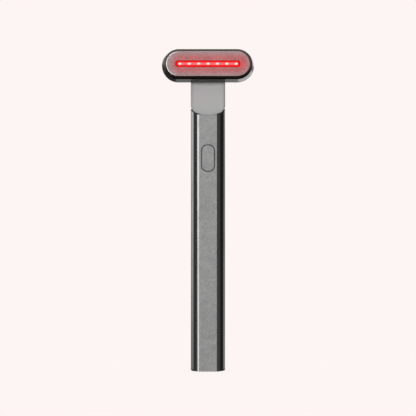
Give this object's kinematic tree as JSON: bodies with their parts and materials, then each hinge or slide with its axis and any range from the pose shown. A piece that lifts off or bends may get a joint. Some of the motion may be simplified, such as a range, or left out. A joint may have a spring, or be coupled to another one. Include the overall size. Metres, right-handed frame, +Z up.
{
  "type": "red light therapy wand",
  "caption": "Slim skin-care wand: flat-fronted metal handle with a press button, and a pill-shaped red light head that swivels on a leaning neck.",
  "frame": {"origin": "middle of the flat foot, on the handle's centre line", "axes": "+Z up the handle to the head, -Y the way the light and the button face, +X to the right of a viewer who faces them from -Y"},
  "size_m": [0.0428, 0.0201, 0.1498],
  "materials": {
    "gunmetal": "polished dark anodised aluminium",
    "blasted": "bead-blasted anodised aluminium, mid grey",
    "neck_grey": "satin light grey lacquer",
    "cap_black": "moulded black",
    "head_dark": "polished dark anodised aluminium",
    "bezel_black": "polished black",
    "plate_metal": "satin conductive plate",
    "light_red": "diffusing red window",
    "led_white": "chip packages",
    "steel": "turned and stamped steel",
    "inlet_steel": "drawn steel shell",
    "bush_plastic": "moulded bearing plastic",
    "chassis_plastic": "moulded black",
    "carrier_plastic": "moulded white",
    "board_green": "glass-filled laminate",
    "chip_black": "moulded packages",
    "film_amber": "polyimide film",
    "cell_wrap": "shrink wrap",
    "nickel": "nickel strip",
    "foam": "closed-cell foam",
    "cable_black": "soft jacket",
    "tungsten": "sintered weight"
  },
  "bodies": {
    "handle": {"handle_shell": "gunmetal", "front_panel": "blasted", "neck": "neck_grey", "neck_rear_cover": "neck_grey", "end_cap": "cap_black", "inlet_shell": "inlet_steel", "inlet_contacts": "chip_black", "inlet_board": "board_green", "pivot_bush": "bush_plastic", "head_cable": "cable_black", "chassis": "chassis_plastic", "battery_cell": "cell_wrap", "battery_tabs": "nickel", "battery_pads": "foam", "main_board": "board_green", "board_parts": "chip_black", "board_screws": "steel", "charge_flex": "film_amber", "cable_plug": "carrier_plastic", "switch_body": "steel", "vibration_motor": "steel"},
    "head": {"head_housing": "head_dark", "bezel_ring": "bezel_black", "treatment_plate": "plate_metal", "light_window": "light_red", "heater_film": "film_amber", "plate_carrier": "carrier_plastic", "led_board": "board_green", "leds": "led_white", "pivot_shaft": "steel", "shaft_screws": "steel", "stop_pin": "steel", "spring_washer": "steel", "retaining_clip": "steel"},
    "power_button": {"button_cap": "blasted", "switch_plunger": "chip_black"},
    "motor_rotor": {"motor_spindle": "steel", "eccentric_weight": "tungsten"}
  },
  "joints": [
    {"name": "head_swivel", "type": "hinge", "parent": "handle", "child": "head", "pos_m": [0, -0.0014, 0.14152], "axis": [0, -0.9925, 0.1219], "range_deg": [-90, 90]},
    {"name": "power_button_press", "type": "slide", "parent": "handle", "child": "power_button", "axis": [0, 1, 0], "range_m": [0, 0.0003], "stiffness_N_per_m": 600, "springref_m": -0.002},
    {"name": "motor_spin", "type": "hinge", "parent": "handle", "child": "motor_rotor", "pos_m": [0, 0.0013, 0.083], "axis": [0, 0, 1], "continuous": true}
  ]
}
